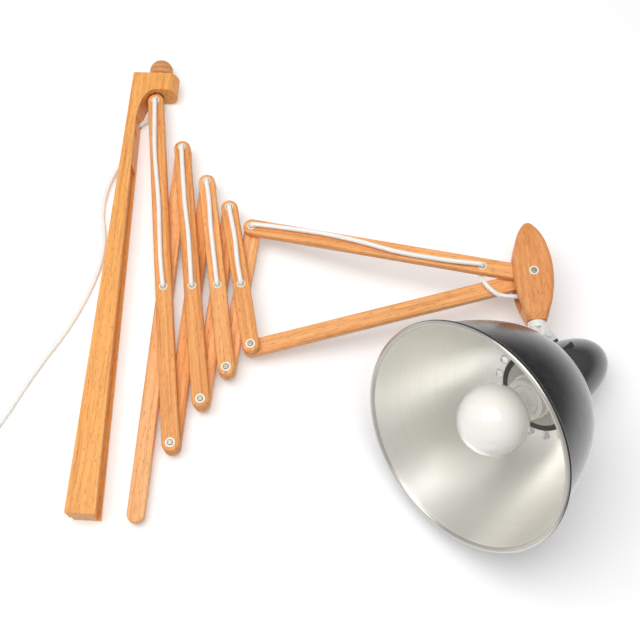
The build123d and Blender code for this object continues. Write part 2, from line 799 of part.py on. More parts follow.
# the loop from the last eyelet into the head: along the arm, across it, and towards the viewer
loop_route = [
    (end_eyelet[0], end_eyelet[1], face_y / 2),
    (end_eyelet[0], end_eyelet[1], -4.1),
    (288.6, 4.6, -2.8),
    (290.6, -5.4, 3.2),
    (297.2, -14.2, 3.4),
    (304.6, -18.0, 1.2),
    (314.0, -18.6, 0.0),
    (323.6, -18.8, 0.2),
    (331.6, -22.6, 0.1),
    (h[0], -31.0, 0.0),
    (h[0], -44.0, 0.0),
]
loop_points = [arm.from_local_coords(spot) for spot in loop_route]
loop_folds = wide_radii(loop_points)
loop_folds[0] = cord_fold * 0.9
tube("cord_loop", loop_points, loop_folds)

# the feed from the duct in the bracket's back to the first eyelet
feed_points = [
    Vector(2.65, duct_y, 152.0),
    Vector(2.65, duct_y, 167.2),
    Vector(12.6, 6.6, 175.6),
    Vector(17.6, 10.9, 184.6),
    Vector(pin_x, face_y + cord_lift, hinge_z),
    Vector(pin_x, 0, hinge_z),
]
feed_folds = wide_radii(feed_points)
feed_folds[0] = duct_depth
feed_folds[-1] = cord_fold
tube("cord_feed", feed_points, feed_folds)

# ---------------------------------------------------------------- mains cord
# laid from the duct's foot away to the left, then on the surface that the lamp lies on


def on_table(x):
    """Depth of a cord that lies on the surface under the lamp."""
    return bracket_width / 2 + table_slope * x - cord_radius - 0.1


mains_route = [
    (2.65, duct_y, 152.0),
    (2.65, duct_y, 139.0),
    (-3.6, 5.9, 127.5),
    (-9.6, 6.8, 116.0),
    (-13.4, 7.6, 101.5),
    (-15.4, 8.3, 85.5),
    (-14.6, 8.9, 70.0),
    (-10.6, 9.5, 53.5),
    (-8.4, on_table(-8.4), 38.0),
    (-9.2, on_table(-9.2), 20.5),
    (-13.2, on_table(-13.2), -1.0),
    (-20.2, on_table(-20.2), -24.0),
    (-31.0, on_table(-31.0), -51.0),
    (-46.5, on_table(-46.5), -79.0),
    (-60.0, on_table(-60.0), -107.0),
    (-72.6, on_table(-72.6), -137.0),
    (-87.5, on_table(-87.5), -163.0),
    (-100.5, on_table(-100.5), -187.0),
    (-114.5, on_table(-114.5), -205.0),
    (-130.5, on_table(-130.5), -220.0),
]
mains_points = [Vector(*spot) for spot in mains_route]
tube("mains_cord", mains_points, wide_radii(mains_points))

coil_y = bracket_width / 2 + table_slope * coil_x - coil_section - coil_rise
with BuildPart() as cord_coil:
    with Locations(Plane(origin=(coil_x, coil_y, coil_z), z_dir=(0, -1, 0))):
        Torus(coil_radius, coil_section)
save(cord_coil.part, "cord_coil")

# ---------------------------------------------------------------- plug
# the coil's outermost turn leaves it on the left and runs straight down into the plug
plug_x = coil_x - coil_radius - coil_section + cord_radius
plug_top_z = coil_z - coil_radius - coil_section
plug_foot_z = plug_top_z - plug_length
plug_y = bracket_width / 2 + table_slope * plug_x - plug_depth / 2 - coil_rise
with BuildPart() as plug:
    with BuildSketch(Plane.XY.offset(plug_top_z)):
        with Locations((plug_x, plug_y)):
            RectangleRounded(plug_width * 0.5, plug_depth * 0.8, plug_depth * 0.3)
    with BuildSketch(Plane.XY.offset(plug_foot_z)):
        with Locations((plug_x, plug_y)):
            RectangleRounded(plug_width, plug_depth, plug_depth * 0.3)
    loft()
    with BuildSketch(Plane.XY.offset(plug_foot_z)):
        with Locations((plug_x, plug_y)):
            with GridLocations(pin_pitch, 0, 2, 1):
                Circle(plug_pin_radius)
    extrude(amount=-pin_reach)
save(plug.part, "plug")
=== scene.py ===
import json

import bmesh
import bpy
import numpy as np
from mathutils import Matrix, Vector

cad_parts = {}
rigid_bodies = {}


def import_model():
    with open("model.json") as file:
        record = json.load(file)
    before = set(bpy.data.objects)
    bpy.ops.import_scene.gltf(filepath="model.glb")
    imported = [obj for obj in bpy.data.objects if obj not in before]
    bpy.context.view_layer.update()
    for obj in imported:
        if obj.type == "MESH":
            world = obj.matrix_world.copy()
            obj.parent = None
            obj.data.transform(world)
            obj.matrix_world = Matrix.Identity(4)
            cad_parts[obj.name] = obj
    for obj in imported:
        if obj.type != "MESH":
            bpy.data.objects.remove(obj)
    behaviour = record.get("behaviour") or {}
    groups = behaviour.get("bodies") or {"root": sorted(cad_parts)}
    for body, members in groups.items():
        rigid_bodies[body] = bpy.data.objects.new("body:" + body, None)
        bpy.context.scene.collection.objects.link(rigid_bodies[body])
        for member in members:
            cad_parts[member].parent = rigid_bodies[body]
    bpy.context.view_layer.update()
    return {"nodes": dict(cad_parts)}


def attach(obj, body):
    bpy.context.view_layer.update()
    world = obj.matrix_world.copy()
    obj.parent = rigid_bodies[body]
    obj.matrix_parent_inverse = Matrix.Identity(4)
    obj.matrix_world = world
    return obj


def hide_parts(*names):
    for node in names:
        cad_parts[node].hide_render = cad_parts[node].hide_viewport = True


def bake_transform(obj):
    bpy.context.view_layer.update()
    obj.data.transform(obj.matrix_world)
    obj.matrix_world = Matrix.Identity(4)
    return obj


# Accordion wall lamp, lying on its side on a pale surface. Metres; +Z up along the bracket.

for leftover in list(bpy.data.objects):
    bpy.data.objects.remove(leftover)
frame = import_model()
nodes = frame["nodes"]
print("frame loaded")


def colour(code):
    # sRGB hex to the linear numbers that the shader wants
    channels = [int(code[i:i + 2], 16) / 255 for i in (1, 3, 5)]
    return [c / 12.92 if c <= 0.04045 else ((c + 0.055) / 1.055) ** 2.4 for c in channels] + [1.0]


def newMaterial(name):
    material = bpy.data.materials.new(name)
    material.use_nodes = True
    material.node_tree.nodes.clear()
    return material, material.node_tree


def addNode(tree, kind, inputs=None, stops=None, **settings):
    # one node with its settings; an input takes a number or another node's socket
    node = tree.nodes.new(kind)
    for key, value in settings.items():
        setattr(node, key, value)
    for key, value in (inputs or {}).items():
        if isinstance(value, bpy.types.NodeSocket):
            tree.links.new(value, node.inputs[key])
        else:
            node.inputs[key].default_value = value
    if stops:
        ramp = node.color_ramp
        while len(ramp.elements) < len(stops):
            ramp.elements.new(0.5)
        for element, (place, code) in zip(ramp.elements, stops):
            element.position = place
            element.color = colour(code)
    return node


def finishMaterial(tree, shader):
    addNode(tree, "ShaderNodeOutputMaterial", {"Surface": shader.outputs[0]})


def dress(material, *names):
    for name in names:
        for slot in nodes[name].material_slots:
            slot.material = material


def makeMesh(name, points, faces, material, smooth=True):
    # a mesh object at the origin from arrays of points and faces
    mesh = bpy.data.meshes.new(name)
    mesh.from_pydata([tuple(p) for p in points], [], [tuple(f) for f in faces])
    mesh.polygons.foreach_set("use_smooth", [smooth] * len(mesh.polygons))
    mesh.materials.append(material)
    obj = bpy.data.objects.new(name, mesh)
    bpy.context.scene.collection.objects.link(obj)
    return obj


def meshPoints(mesh):
    # all vertices as an array
    flat = np.zeros(len(mesh.vertices) * 3)
    mesh.vertices.foreach_get("co", flat)
    return flat.reshape(-1, 3)


def seenBare(tree):
    # the light path, and 1 for what the camera sees, also in reflections or through glass, else 0
    path = addNode(tree, "ShaderNodeLightPath")
    seen = addNode(tree, "ShaderNodeMath", {0: path.outputs["Is Camera Ray"],
                                            1: path.outputs["Is Glossy Ray"]}, operation="MAXIMUM")
    seen = addNode(tree, "ShaderNodeMath", {0: seen.outputs[0],
                                            1: path.outputs["Is Transmission Ray"]},
                   operation="MAXIMUM")
    return path, seen.outputs[0]


# The camera stands where the photograph was taken from.
view = {
    "eye": (0.267909, -0.908, -0.434278),
    "right": (0.99698344, 0.04562287, 0.06278998),
    "down": (0.03891816, 0.40608657, -0.91300552),
    "ahead": (-0.0671521, 0.91269505, 0.40308603),
    "lens": 62.28, "sensor": 36.0, "nearest": 0.01,
}
camera = bpy.data.objects.new("camera", bpy.data.cameras.new("camera"))
bpy.context.scene.collection.objects.link(camera)
axes = (Vector(view["right"]), -Vector(view["down"]), -Vector(view["ahead"]))
camera.matrix_world = Matrix.LocRotScale(Vector(view["eye"]), Matrix(axes).transposed(), None)
camera.data.lens = view["lens"]
camera.data.sensor_width = view["sensor"]
camera.data.clip_start = view["nearest"]
bpy.context.scene.camera = camera
bpy.context.scene.view_settings.view_transform = "Standard"

# The paper under the lamp: flat below the bracket and the cord, y = lift + slope x, then it dips
# in a smooth step to the shade's lowest side.
table = {
    "lift": 0.0125, "slope": 0.0328, "half": 3.0, "albedo": "#F2F2F2", "glow": 0.22,
    "dip": 0.022, "dipFrom": 0.09, "dipTo": 0.27, "fineFrom": 0.05, "fineTo": 0.35, "fineLines": 61,
    # what reflections see is a painted reflection, a glow on the paper: bright round the shade, dark where
    # it ends, plain paper at the left
    "litMiddle": (0.33, 0.04, -0.14), "litTo": 0.26, "darkFrom": 0.66, "lit": 1.6, "dark": 0.08,
    "plain": 1.2, "plainTo": 0.12, "shapedFrom": 0.3,
}
tableMaterial, tree = newMaterial("whitePaperTable")
path, seen = seenBare(tree)
strength = addNode(tree, "ShaderNodeMath", {0: seen, 1: table["glow"]}, operation="MULTIPLY")
glow = addNode(tree, "ShaderNodeEmission", {"Strength": strength.outputs[0]})
paper = addNode(tree, "ShaderNodeBsdfDiffuse", {"Color": colour(table["albedo"])})
both = addNode(tree, "ShaderNodeAddShader", {0: glow.outputs[0], 1: paper.outputs[0]})
clear = addNode(tree, "ShaderNodeBsdfTransparent")
place = addNode(tree, "ShaderNodeTexCoord")
gap = addNode(tree, "ShaderNodeVectorMath", {0: place.outputs["Object"], 1: table["litMiddle"]},
              operation="DISTANCE")
lit = addNode(tree, "ShaderNodeMapRange", {
    "Value": gap.outputs["Value"], "From Min": table["litTo"], "From Max": table["darkFrom"],
    "To Min": table["lit"], "To Max": table["dark"]}, interpolation_type="SMOOTHSTEP")
across = addNode(tree, "ShaderNodeSeparateXYZ", {0: place.outputs["Object"]})
onRight = addNode(tree, "ShaderNodeMapRange", {
    "Value": across.outputs["X"], "From Min": table["plainTo"], "From Max": table["shapedFrom"]})
reflected = addNode(tree, "ShaderNodeMix", {"Factor": onRight.outputs[0], 2: table["plain"],
                                            3: lit.outputs[0]})
# painted reflection: glossy rays see this glow in place of the lit paper
inMirror = addNode(tree, "ShaderNodeEmission", {"Strength": reflected.outputs[0]})
both = addNode(tree, "ShaderNodeMixShader", {0: path.outputs["Is Glossy Ray"], 1: both.outputs[0],
                                             2: inMirror.outputs[0]})
side = addNode(tree, "ShaderNodeNewGeometry")
shown = addNode(tree, "ShaderNodeMixShader", {0: side.outputs["Backfacing"], 1: both.outputs[0],
                                              2: clear.outputs[0]})
finishMaterial(tree, shown)
fineLines = np.linspace(table["fineFrom"], table["fineTo"], table["fineLines"])
acrossTable = np.concatenate([[-table["half"]], fineLines, [table["half"]]])
alongTable = np.array([-table["half"], table["half"]])
gridZ, gridX = np.meshgrid(alongTable, acrossTable, indexing="ij")
part = np.clip((gridX - table["dipFrom"]) / (table["dipTo"] - table["dipFrom"]), 0, 1)
gridY = table["lift"] + table["slope"] * gridX + table["dip"] * part**2 * (3 - 2 * part)
firsts = np.arange(len(acrossTable) - 1)
tableFaces = np.column_stack([firsts, firsts + 1, firsts + 1 + len(acrossTable),
                              firsts + len(acrossTable)])
tableTop = makeMesh("table", np.stack([gridX, gridY, gridZ], -1).reshape(-1, 3), tableFaces,
                    tableMaterial)

# One wide softbox above the table, seen from the lamp as a panel of about 50 by 37 degrees.
softbox = {"towards": (-0.122, -0.992, -0.05), "distance": 1.6, "width": 1.49, "height": 1.07,
           "middle": (0.2, 0.0, -0.05), "watts": 21.5}
lampData = bpy.data.lights.new("softbox", "AREA")
lampData.shape = "RECTANGLE"
lampData.size = softbox["width"]
lampData.size_y = softbox["height"]
lampData.energy = softbox["watts"]
lampObject = bpy.data.objects.new("softbox", lampData)
bpy.context.scene.collection.objects.link(lampObject)
towards = Vector(softbox["towards"]).normalized()
lampObject.matrix_world = Matrix.LocRotScale(
    Vector(softbox["middle"]) + towards * softbox["distance"], towards.to_track_quat("Z", "Y"), None
)

world = bpy.data.worlds.new("studio")
bpy.context.scene.world = world
world.use_nodes = True
tree = world.node_tree
tree.nodes.clear()
# Surfaces get a dim fill. Reflections see a dark room above the table and white all round it;
# those that have bounced about inside the bowl see a lighter room.
fill = {"dim": 0.42, "white": 1.0, "room": 0.03, "roomFrom": -0.78, "roomTo": -0.2,
        "deepRoom": 0.75}
path, seen = seenBare(tree)
deep = addNode(tree, "ShaderNodeMath", {0: path.outputs["Ray Depth"], 1: 1.5}, operation="GREATER_THAN")
room = addNode(tree, "ShaderNodeMix", {"Factor": deep.outputs[0], 2: fill["room"],
                                       3: fill["deepRoom"]})
heading = addNode(tree, "ShaderNodeTexCoord")
heading = addNode(tree, "ShaderNodeSeparateXYZ", {0: heading.outputs["Generated"]})
above = addNode(tree, "ShaderNodeMapRange", {
    "Value": heading.outputs["Y"], "From Min": fill["roomFrom"], "From Max": fill["roomTo"],
    "To Min": room.outputs[0], "To Max": fill["white"]}, interpolation_type="SMOOTHSTEP")
mirrored = addNode(tree, "ShaderNodeMix", {"Factor": path.outputs["Is Glossy Ray"], 2: fill["white"],
                                           3: above.outputs[0]})
level = addNode(tree, "ShaderNodeMix", {"Factor": seen, 2: fill["dim"], 3: mirrored.outputs[0]})
sky = addNode(tree, "ShaderNodeBackground", {"Strength": level.outputs[0]})
addNode(tree, "ShaderNodeOutputWorld", {"Surface": sky.outputs[0]})
print("view, table and light set")

# Smooth white PVC over two cores: a soft even sheath with a faint satin shine.
sheath, tree = newMaterial("whitePvcSheath")
coords = addNode(tree, "ShaderNodeTexCoord")
mottle = addNode(tree, "ShaderNodeTexNoise", {"Vector": coords.outputs["Object"], "Scale": 90.0,
                                              "Detail": 3.0})
tint = addNode(tree, "ShaderNodeValToRGB", {"Fac": mottle.outputs[0]},
               stops=[(0.3, "#F6F5F0"), (0.7, "#FCFBF7")])
shine = addNode(tree, "ShaderNodeMapRange", {"Value": mottle.outputs[0], "To Min": 0.34, "To Max": 0.5})
skin = addNode(tree, "ShaderNodeBump", {"Height": mottle.outputs[0], "Strength": 0.05,
                                        "Distance": 0.0005})
shader = addNode(tree, "ShaderNodeBsdfPrincipled", {
    "Base Color": tint.outputs[0], "Roughness": shine.outputs[0], "Normal": skin.outputs[0],
    "Subsurface Weight": 0.15, "Subsurface Radius": (0.002, 0.002, 0.0018)})
finishMaterial(tree, shader)


def hoopFaces(hoops, sides):
    # quads between closed hoops of points, each hoop joined to the next and the last to the first
    i, j = np.meshgrid(np.arange(hoops), np.arange(sides), indexing="ij")
    nextHoop, nextSide = (i + 1) % hoops * sides, (j + 1) % sides
    return np.stack([i * sides + j, i * sides + nextSide, nextHoop + nextSide, nextHoop + j],
                    -1).reshape(-1, 4)


mains = {
    "diameter": 0.0043, "length": 1.85,
    "coilX": -107.0, "coilZ": -244.0, "coilFoot": 6.6, "layerRise": 4.35,
    "outerTurn": 29.85, "innerTurn": 20.1, "turnsPerLayer": 2.25, "layers": 4, "pointsPerTurn": 16,
    "joinTurns": 0.12, "abovePaper": 2.25,
}


def onTable(x):
    # depth of the cord's middle where it lies on the table, in mm: lift + slope x - abovePaper
    return table["lift"] * 1000 + table["slope"] * x - mains["abovePaper"]


def cordLine(name, places, steps):
    # a smooth round cord along the NURBS line of some points in mm
    shape = bpy.data.curves.new(name, "CURVE")
    shape.dimensions = "3D"
    shape.bevel_depth = mains["diameter"] / 2
    shape.bevel_resolution = 5
    shape.resolution_u = steps
    shape.use_fill_caps = True
    line = shape.splines.new("NURBS")
    line.points.add(len(places) - 1)
    line.points.foreach_set("co", np.column_stack([np.array(places) / 1000, np.ones(len(places))]).ravel())
    line.order_u = 3
    line.use_endpoint_u = True
    shape.materials.append(sheath)
    cord = bpy.data.objects.new(name, shape)
    bpy.context.scene.collection.objects.link(cord)
    return cord


def takeMesh(obj):
    # a curve's mesh, as it is drawn; the curve goes
    graph = bpy.context.evaluated_depsgraph_get()
    mesh = bpy.data.meshes.new_from_object(obj.evaluated_get(graph))
    bpy.data.objects.remove(obj)
    return mesh


route = [(2.65, 5.5, 152), (2.65, 5.5, 139), (-3.6, 5.9, 127.5), (-9.6, 6.8, 116),
         (-13.4, 7.6, 101.5), (-15.4, 8.3, 85.5), (-14.6, 8.9, 70), (-10.6, 9.5, 53.5)]
route += [(x, onTable(x), z) for x, z in (
    (-8.4, 38), (-9.2, 20.5), (-13.2, -1), (-20.2, -24), (-31, -51), (-46.5, -79), (-60, -107),
    (-72.6, -137), (-87.5, -163), (-100.5, -187), (-114.5, -205), (-130.5, -220), (-136.2, -231.4))]
# The coil: four flat spirals on each other, inwards and outwards in turn. The radius runs to and
# fro between outerTurn and innerTurn; the layer climbs by one in a smooth step at each change.
turnCount = mains["turnsPerLayer"] * mains["layers"]
turns = np.arange(0, turnCount + 0.001, 1 / mains["pointsPerTurn"])
inLayer = turns / mains["turnsPerLayer"]
there = np.abs((inLayer + 1) % 2 - 1)
coilRadius = mains["outerTurn"] + (mains["innerTurn"] - mains["outerTurn"]) * there
fromChange = (inLayer - np.round(inLayer)) * mains["turnsPerLayer"]
step = np.clip(fromChange / mains["joinTurns"], -1, 1)
climb = np.clip(np.round(inLayer), 0, mains["layers"]) - 0.5 + 0.5 * step * (1.5 - 0.5 * step**2)
between = np.abs(fromChange) >= mains["joinTurns"]
climb = np.clip(np.where(between, np.floor(inLayer), climb), 0, mains["layers"] - 1)
angle = np.pi + 2 * np.pi * turns
coilX = mains["coilX"] + coilRadius * np.cos(angle)
coilZ = mains["coilZ"] + coilRadius * np.sin(angle)
coilY = mains["coilFoot"] - mains["layerRise"] * climb + table["slope"] * (coilX - mains["coilX"])
route += list(zip(coilX, coilY, coilZ))
plugX = coilX[-1]
route += [(plugX, y, z) for y, z in (
    (-7.5, -249.5), (-7.0, -255.3), (-5.4, -260.3), (-3.1, -265.5), (-0.8, -270.7), (0.85, -276.3),
    (1.11, -283))]
lineSteps = 6
mainsFlex = cordLine("mainsFlex", route, lineSteps)
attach(mainsFlex, "bracket")
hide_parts("mains_cord", "cord_coil")

# The strain relief of the plug: a ribbed PVC sleeve that tapers along the cord's last stretch.
# Its rings follow points read from the cord's own line, counted back from the cord's end.
sleeve = {"length": 26.48, "from": 2.45, "to": 4.3, "rib": 0.28, "pitch": 2.2, "sides": 32,
          "rings": 84, "inside": 2.0}
bareLine = cordLine("bareLine", route, lineSteps)
bareLine.data.bevel_depth = 0
linePoints = meshPoints(takeMesh(bareLine)) * 1000
runs = np.concatenate([[0], np.cumsum(np.linalg.norm(np.diff(linePoints, axis=0), axis=1))])
run = np.linspace(0, sleeve["length"], sleeve["rings"])
at = runs[-1] - sleeve["length"] + run
ringY, ringZ = (np.interp(at, runs, linePoints[:, axis]) for axis in (1, 2))
lean = np.stack([np.gradient(ringY), np.gradient(ringZ)])
leanY, leanZ = lean / np.linalg.norm(lean, axis=0)
# radius = from + (to - from) run / length + rib |sin(pi run / pitch)|, closed inside the cord
ringR = (sleeve["from"] + (sleeve["to"] - sleeve["from"]) * run / sleeve["length"]
         + sleeve["rib"] * np.abs(np.sin(np.pi * run / sleeve["pitch"])))
ringR, ringY, ringZ, leanY, leanZ = (
    np.concatenate([first, values, last])[:, None] for first, values, last in (
        ([sleeve["inside"]], ringR, [sleeve["inside"]]), (ringY[:1], ringY, ringY[-1:]),
        (ringZ[:1], ringZ, ringZ[-1:]), (leanY[:1], leanY, leanY[-1:]), (leanZ[:1], leanZ, leanZ[-1:])))
turn = np.linspace(0, 2 * np.pi, sleeve["sides"], endpoint=False)
sleevePoints = np.stack([plugX + ringR * np.cos(turn), ringY + ringR * np.sin(turn) * leanZ,
                         ringZ - ringR * np.sin(turn) * leanY], -1).reshape(-1, 3) / 1000
plugSleeve = makeMesh("plugSleeve", sleevePoints, hoopFaces(len(ringR), sleeve["sides"]), sheath)
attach(plugSleeve, "bracket")

# A strip that ties the coil, round its bundle on the right: a rounded rectangle carried round,
# where each side is the cosine or sine of the turn to the power of 2 / square.
tie = {"width": 5.0, "thick": 0.8, "reachIn": 17.6, "reachOut": 32.3, "halfDeep": 9.0, "middleY": 1.6,
       "square": 4.0, "sides": 48}
turn = np.linspace(0, 2 * np.pi, tie["sides"], endpoint=False)
outward = np.column_stack([np.cos(turn), np.sin(turn)])
rounded = np.sign(outward) * np.abs(outward) ** (2 / tie["square"])
loopR = (tie["reachIn"] + tie["reachOut"]) / 2 + (tie["reachOut"] - tie["reachIn"]) / 2 * rounded[:, 0]
loopY = tie["middleY"] + table["slope"] * loopR + tie["halfDeep"] * rounded[:, 1]
tiePoints = np.concatenate([
    np.column_stack([mains["coilX"] + loopR + rise * outward[:, 0], loopY + rise * outward[:, 1],
                     np.full(tie["sides"], mains["coilZ"] + side * tie["width"])])
    for rise, side in ((0, -0.5), (0, 0.5), (tie["thick"], 0.5), (tie["thick"], -0.5))]) / 1000
coilTie = makeMesh("coilTie", tiePoints, hoopFaces(4, tie["sides"])[:, ::-1], sheath)
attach(coilTie, "bracket")
print("mains cord laid")

# Teak, planed and oiled: straight grain along each piece with darker bands and short open pores.
# Real pores are 0.3 mm wide, too fine to show, so they are drawn 0.8 mm wide.


def teak(name, along, depth, look):
    # grain coordinates in mm: the first runs along the piece, the last through its thickness
    points = meshPoints(nodes[name].data)
    middle = (points.min(0) + points.max(0)) / 2
    along = Vector(along).normalized()
    across = Vector(depth).cross(along).normalized()
    turned = Matrix((along, across, along.cross(across)))
    shift = -(turned @ Vector(middle)) * 1000
    material, tree = newMaterial("oiledTeak." + name)
    coords = addNode(tree, "ShaderNodeTexCoord")
    grain = addNode(tree, "ShaderNodeMapping", {
        "Vector": coords.outputs["Object"], "Location": shift + Vector(look.get("shift", (0, 0, 0))),
        "Rotation": turned.to_euler(), "Scale": (1000, 1000, 1000)})
    wander = addNode(tree, "ShaderNodeVectorMath", {0: grain.outputs[0], 1: look["wanderScale"]},
                     operation="MULTIPLY")
    wander = addNode(tree, "ShaderNodeTexNoise", {"Vector": wander.outputs[0], "Scale": 1.0,
                                                  "Detail": 2.0})
    bend = addNode(tree, "ShaderNodeVectorMath", {0: wander.outputs["Color"], 1: (0.5, 0.5, 0.5)},
                   operation="SUBTRACT")
    bend = addNode(tree, "ShaderNodeVectorMath", {0: bend.outputs[0], 1: (0, look["wander"],
                                                                       look["wander"])},
                   operation="MULTIPLY")
    bent = addNode(tree, "ShaderNodeVectorMath", {0: grain.outputs[0], 1: bend.outputs[0]},
                   operation="ADD")
    layers = {}
    for key, scales, detail in (
            ("band", (look["bandLong"], look["band"], look["band"]), 3.0),
            ("fibre", look["fibreScale"], 4.0), ("pore", look["poreScale"], 1.0)):
        stretched = addNode(tree, "ShaderNodeVectorMath", {0: bent.outputs[0], 1: scales},
                            operation="MULTIPLY")
        layers[key] = addNode(tree, "ShaderNodeTexNoise", {"Vector": stretched.outputs[0],
                                                           "Scale": 1.0, "Detail": detail}).outputs[0]
    # year rings: cylinders round a far heart that leans a little, which gives flames on a flat face
    heart = addNode(tree, "ShaderNodeMapping", {
        "Vector": bent.outputs[0], "Location": look["heart"], "Rotation": look["lean"]})
    rings = addNode(tree, "ShaderNodeTexWave", {
        "Vector": heart.outputs[0], "Scale": look["ringScale"], "Distortion": 1.2, "Detail": 2.0,
        "Detail Scale": 0.4}, wave_type="RINGS", rings_direction="X", wave_profile="SAW")
    ringPart = addNode(tree, "ShaderNodeMath", {0: rings.outputs["Fac"], 1: look["ringShare"]},
                       operation="MULTIPLY")
    bandPart = addNode(tree, "ShaderNodeMath", {0: layers["band"], 1: 1 - look["ringShare"]},
                       operation="MULTIPLY")
    share = addNode(tree, "ShaderNodeMath", {0: ringPart.outputs[0], 1: bandPart.outputs[0]},
                    operation="ADD")
    base = addNode(tree, "ShaderNodeValToRGB", {"Fac": share.outputs[0]}, stops=look["stops"])
    fibreTint = addNode(tree, "ShaderNodeMapRange", {"Value": layers["fibre"], "From Min": 0.3,
                                                     "From Max": 0.7, "To Min": 0.86, "To Max": 1.07})
    fibred = addNode(tree, "ShaderNodeVectorMath", {0: base.outputs[0], "Scale": fibreTint.outputs[0]},
                     operation="SCALE")
    poreMask = addNode(tree, "ShaderNodeMapRange", {"Value": layers["pore"], "From Min": 0.6,
                                                    "From Max": 0.68, "To Max": look["pores"]})
    final = addNode(tree, "ShaderNodeMix", {"Factor": poreMask.outputs[0], 6: fibred.outputs[0],
                                            7: colour(look["poreColour"])}, data_type="RGBA")
    satin = addNode(tree, "ShaderNodeMapRange", {"Value": layers["fibre"], "To Min": 0.42,
                                                 "To Max": 0.62})
    lower = addNode(tree, "ShaderNodeMath", {0: layers["fibre"], 1: poreMask.outputs[0]},
                    operation="SUBTRACT")
    relief = addNode(tree, "ShaderNodeBump", {"Height": lower.outputs[0], "Strength": 0.25,
                                              "Distance": 0.0003})
    shader = addNode(tree, "ShaderNodeBsdfPrincipled", {
        "Base Color": final.outputs[2], "Roughness": satin.outputs[0], "Normal": relief.outputs[0],
        "Specular IOR Level": 0.35})
    finishMaterial(tree, shader)
    dress(material, name)


# Scales are one over millimetres: bands 110 mm long and 3 mm wide, fibres 30 by 1.1 mm, pores 7 by
# 0.8 mm; the grain wanders by up to 4 mm over about 80 mm.
linkLook = {"wander": 4.0, "wanderScale": (0.012, 0.05, 0.05), "bandLong": 0.009, "band": 0.3,
            "fibreScale": (0.035, 0.9, 0.9), "poreScale": (0.14, 1.25, 1.25), "heart": (0, 60, 25),
            "lean": (0, 0.012, 0.03), "ringScale": 0.055, "ringShare": 0.18, "pores": 0.55,
            "poreColour": "#B56E34"}
tones = {
    "deep": [(0.25, "#CF8243"), (0.42, "#EB9D58"), (0.55, "#F4A963"), (0.8, "#FAB571")],
    "plain": [(0.25, "#D78B4B"), (0.42, "#F2A764"), (0.55, "#F9B26F"), (0.8, "#FFBF7D")],
    "pale": [(0.25, "#DF9657"), (0.42, "#F6B070"), (0.55, "#FCBA7C"), (0.8, "#FFC68B")],
}
linkTones = {"link_f1": "deep", "link_f2": "deep", "link_f4": "deep", "link_b1": "deep",
             "link_b0": "pale", "link_b3": "pale"}
bracketLook = dict(linkLook, band=0.34, heart=(0, 75, 30), lean=(0, 0.02, 0.045), ringShare=0.16,
                   stops=[(0.25, "#E2934A"), (0.42, "#F6A95A"), (0.58, "#FCB363"), (0.85, "#FFBE72")])
headLook = dict(linkLook, heart=(12, 26, 16), lean=(0, 0.1, 0.2), ringScale=0.07,
                ringShare=0.16, stops=[(0.2, "#CA7B3F"), (0.4, "#E79656"), (0.6, "#F0A464"),
                                       (0.85, "#F8B273")])
knobLook = dict(linkLook, ringShare=0.4, stops=[(0.2, "#C07F45"), (0.5, "#DB9A62"), (0.8, "#EBAE78")])
armUp = (-0.079381, 0, 0.996844)
for index, name in enumerate([f"link_f{i}" for i in range(1, 6)] + [f"link_b{i}" for i in range(5)]):
    cloud = meshPoints(nodes[name].data)
    directions = np.linalg.eigh(np.cov((cloud - cloud.mean(0)).T))[1]
    along = directions[:, 2] * (1 if directions[2, 2] > 0 else -1)
    teak(name, along, (0, 1, 0), dict(linkLook, stops=tones[linkTones.get(name, "plain")],
                                      shift=(index * 173.0, index * 37.0, index * 23.0)))
teak("wall_bracket", (0, 0, 1), (0, 1, 0), bracketLook)
teak("pin_knob", (1, 0, 0), (0, 1, 0), knobLook)
teak("head_block", armUp, (0, 1, 0), headLook)
print("wood grained")


def mottled(name, low, high, rough, grainSize, **shader):
    # a moulded or painted surface: a faint change of tint, gloss and relief over grainSize in mm
    material, tree = newMaterial(name)
    coords = addNode(tree, "ShaderNodeTexCoord")
    noise = addNode(tree, "ShaderNodeTexNoise", {"Vector": coords.outputs["Object"],
                                                 "Scale": 1000 / grainSize, "Detail": 4.0})
    tint = addNode(tree, "ShaderNodeValToRGB", {"Fac": noise.outputs[0]}, stops=[(0.3, low), (0.7, high)])
    gloss = addNode(tree, "ShaderNodeMapRange", {"Value": noise.outputs[0], "To Min": rough - 0.06,
                                                 "To Max": rough + 0.06})
    relief = addNode(tree, "ShaderNodeBump", {"Height": noise.outputs[0], "Strength": 0.08,
                                              "Distance": 0.0003})
    values = {"Base Color": tint.outputs[0], "Roughness": gloss.outputs[0], "Normal": relief.outputs[0]}
    values.update(shader)
    finishMaterial(tree, addNode(tree, "ShaderNodeBsdfPrincipled", values))
    return material


# Cream enamel baked on rolled eyelets: soft gloss, slightly uneven film.
creamEnamel = mottled("creamEnamel", "#E4D9BC", "#EFE6CF", 0.3, 1.5)
# Moulded white polystyrene of the collar, rings and holder: clean semi-gloss.
mouldedWhite = mottled("mouldedWhite", "#E9E8E3", "#F2F1ED", 0.32, 2.5)
# Nickelled steel gone dull: turned rivets with an olive-grey tarnish.
dullNickel = mottled("dullNickel", "#8D8871", "#ABA58C", 0.38, 0.8, Metallic=1.0)
# Plain turned steel: grey, fine turning marks.
turnedSteel = mottled("turnedSteel", "#9A968C", "#BDB9B0", 0.35, 0.8, Metallic=1.0)
# Satin black stove enamel on the spun dome's outside, and the moulded black cap.
blackEnamel = mottled("satinBlackEnamel", "#131314", "#181819", 0.26, 9.0)
blackPhenolic = mottled("blackPhenolic", "#202021", "#272728", 0.26, 7.0)
# Blown opal glass: milky white right through, with a clear hard shine.
opalGlass = mottled("opalGlass", "#FCF9F1", "#FEFCF6", 0.2, 20.0, **{
    "Coat Weight": 1.0, "Coat Roughness": 0.06, "Subsurface Weight": 0.25,
    "Subsurface Radius": (0.01, 0.01, 0.009)})


